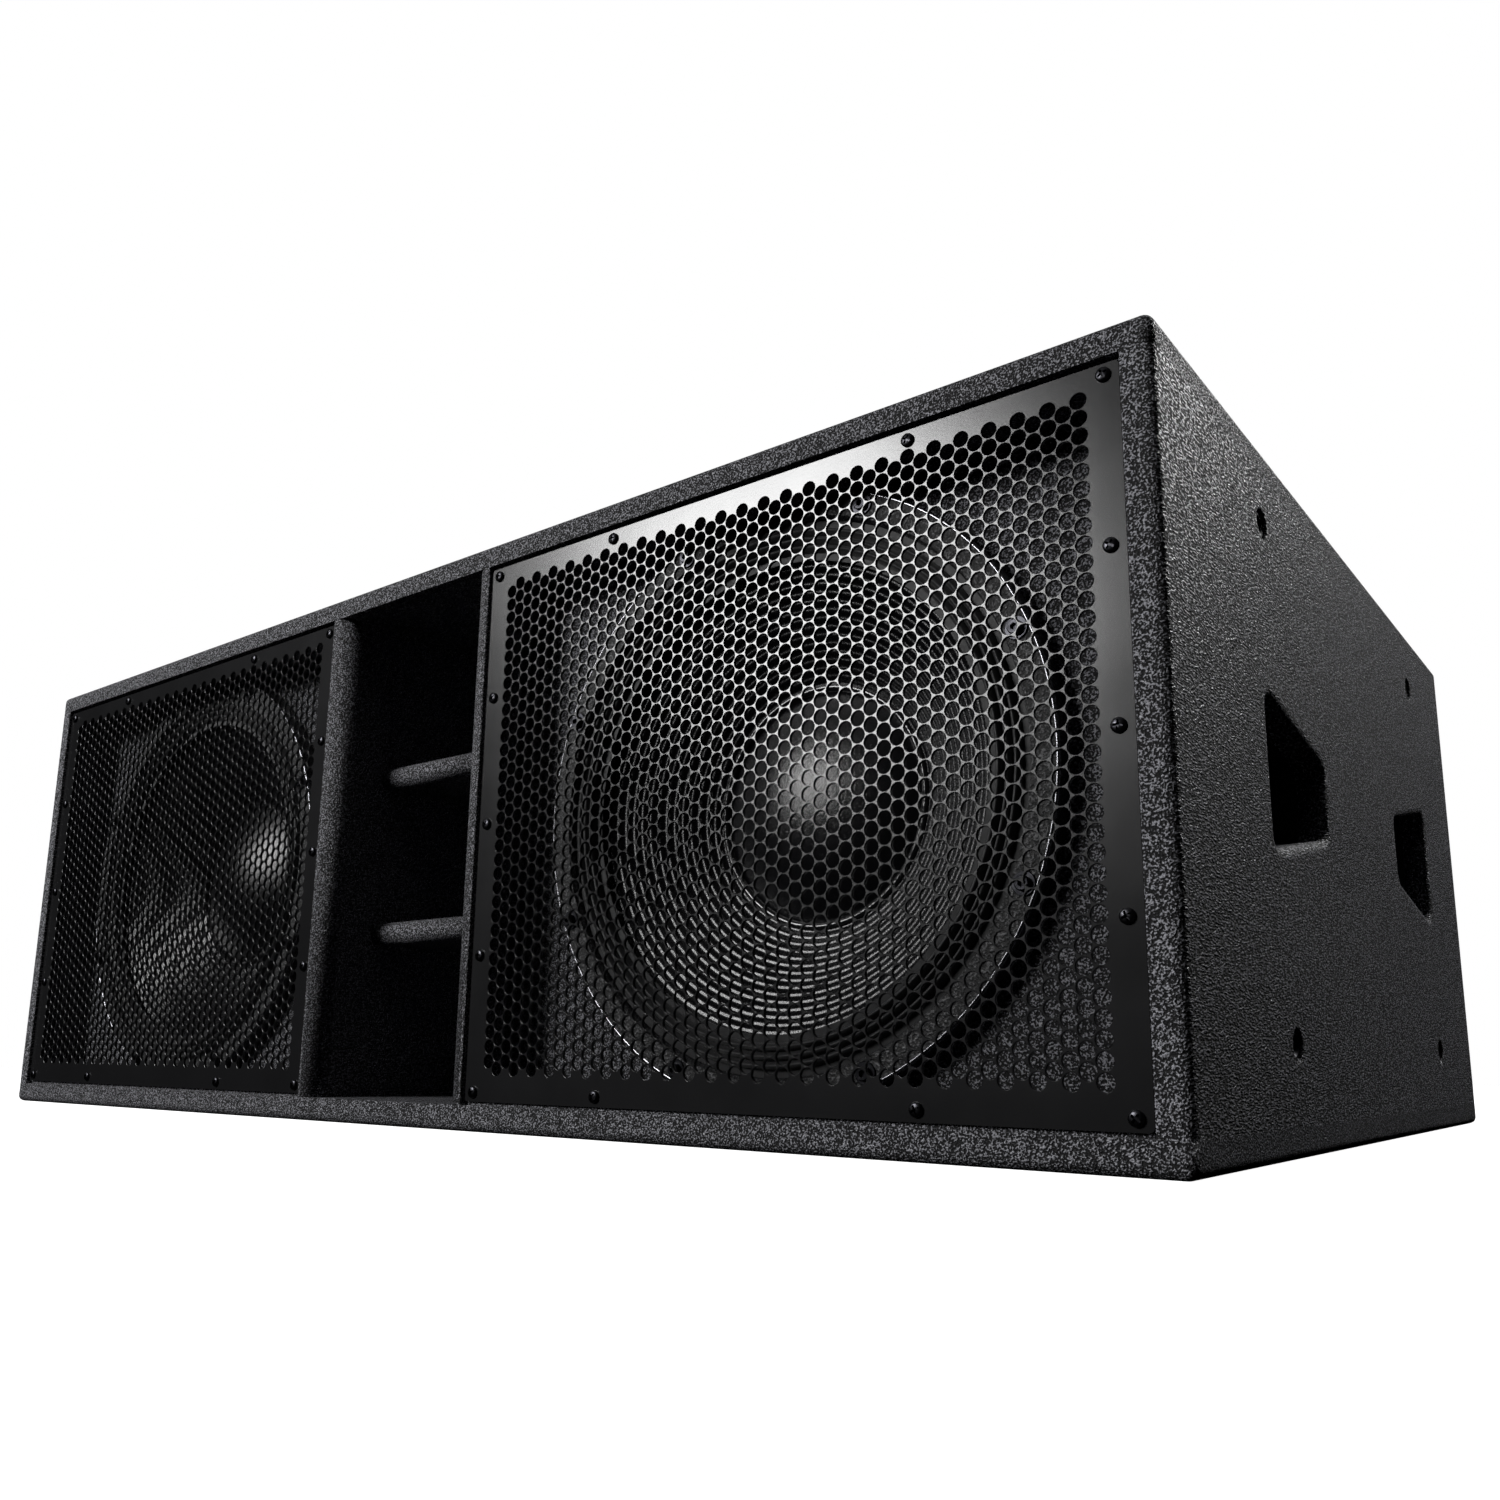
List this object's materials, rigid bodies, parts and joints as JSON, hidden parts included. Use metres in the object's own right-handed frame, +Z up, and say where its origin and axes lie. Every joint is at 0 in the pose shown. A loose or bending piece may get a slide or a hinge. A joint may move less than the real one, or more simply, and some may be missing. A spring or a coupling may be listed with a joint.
{
  "type": "pa speaker cabinet",
  "caption": "Wide black PA subwoofer cabinet: grilled driver bays either side of a slotted central port, hand holes and rigging points in the side panels.",
  "frame": {"origin": "middle of the underside, on the surface the cabinet stands on", "axes": "+X across the cabinet to its right-hand end, seen from the grilles; +Y from the grilles to the back panel; +Z up"},
  "size_m": [1.22, 0.762, 0.432],
  "materials": {
    "coated_plywood": "sprayed hard-wearing black coating with a coarse grain",
    "bare_plywood": "bare birch plywood inside the box",
    "powder_coated_steel": "satin black powder coat",
    "black_plastic": "moulded, fine satin grain",
    "plated_steel": "dull zinc plate",
    "basket_casting": "die casting, painted satin black",
    "gasket_foam": "closed-cell foam",
    "surround_cloth": "rolled cloth, doped, slightly tacky sheen",
    "cone_paper": "ribbed pressed paper, coated",
    "dust_cap_paper": "domed pressed paper, coated",
    "copper_winding": "lacquered copper wire on its former",
    "spider_cloth": "corrugated, resin-stiffened cloth",
    "motor_steel": "turned and blacked steel",
    "ferrite": "sintered, matte",
    "cable_sheath": "round flexible sheath"
  },
  "bodies": {
    "cabinet": {"top_panel": "coated_plywood", "bottom_panel": "coated_plywood", "left_side_panel": "coated_plywood", "right_side_panel": "coated_plywood", "back_panel": "coated_plywood", "left_divider": "coated_plywood", "right_divider": "coated_plywood", "upper_port_brace": "coated_plywood", "lower_port_brace": "coated_plywood", "left_baffle": "coated_plywood", "right_baffle": "coated_plywood", "left_grille_battens": "coated_plywood", "right_grille_battens": "coated_plywood", "left_window_brace": "bare_plywood", "right_window_brace": "bare_plywood", "left_grille": "powder_coated_steel", "right_grille": "powder_coated_steel", "input_dish": "powder_coated_steel", "left_front_hand_pocket": "black_plastic", "left_rear_hand_pocket": "black_plastic", "right_front_hand_pocket": "black_plastic", "right_rear_hand_pocket": "black_plastic", "input_socket": "black_plastic", "link_socket": "black_plastic", "left_terminal_block": "black_plastic", "right_terminal_block": "black_plastic", "left_front_upper_rigging_insert": "plated_steel", "left_front_lower_rigging_insert": "plated_steel", "left_rear_upper_rigging_insert": "plated_steel", "left_rear_lower_rigging_insert": "plated_steel", "right_front_upper_rigging_insert": "plated_steel", "right_front_lower_rigging_insert": "plated_steel", "right_rear_upper_rigging_insert": "plated_steel", "right_rear_lower_rigging_insert": "plated_steel", "left_basket": "basket_casting", "left_basket_gasket": "gasket_foam", "left_surround": "surround_cloth", "left_spider": "spider_cloth", "left_top_plate": "motor_steel", "left_magnet": "ferrite", "left_pole_piece": "motor_steel", "left_speaker_cable": "cable_sheath", "right_basket": "basket_casting", "right_basket_gasket": "gasket_foam", "right_surround": "surround_cloth", "right_spider": "spider_cloth", "right_top_plate": "motor_steel", "right_magnet": "ferrite", "right_pole_piece": "motor_steel", "right_speaker_cable": "cable_sheath"},
    "left_cone_assembly": {"left_cone": "cone_paper", "left_dust_cap": "dust_cap_paper", "left_voice_coil": "copper_winding"},
    "right_cone_assembly": {"right_cone": "cone_paper", "right_dust_cap": "dust_cap_paper", "right_voice_coil": "copper_winding"}
  },
  "joints": [
    {"name": "left_cone_travel", "type": "slide", "parent": "cabinet", "child": "left_cone_assembly", "axis": [0, -1, 0], "range_m": [-0.008, 0.008], "stiffness_N_per_m": 6000, "deforming": ["left_surround", "left_spider"]},
    {"name": "right_cone_travel", "type": "slide", "parent": "cabinet", "child": "right_cone_assembly", "axis": [0, -1, 0], "range_m": [-0.008, 0.008], "stiffness_N_per_m": 6000, "deforming": ["right_surround", "right_spider"]}
  ]
}
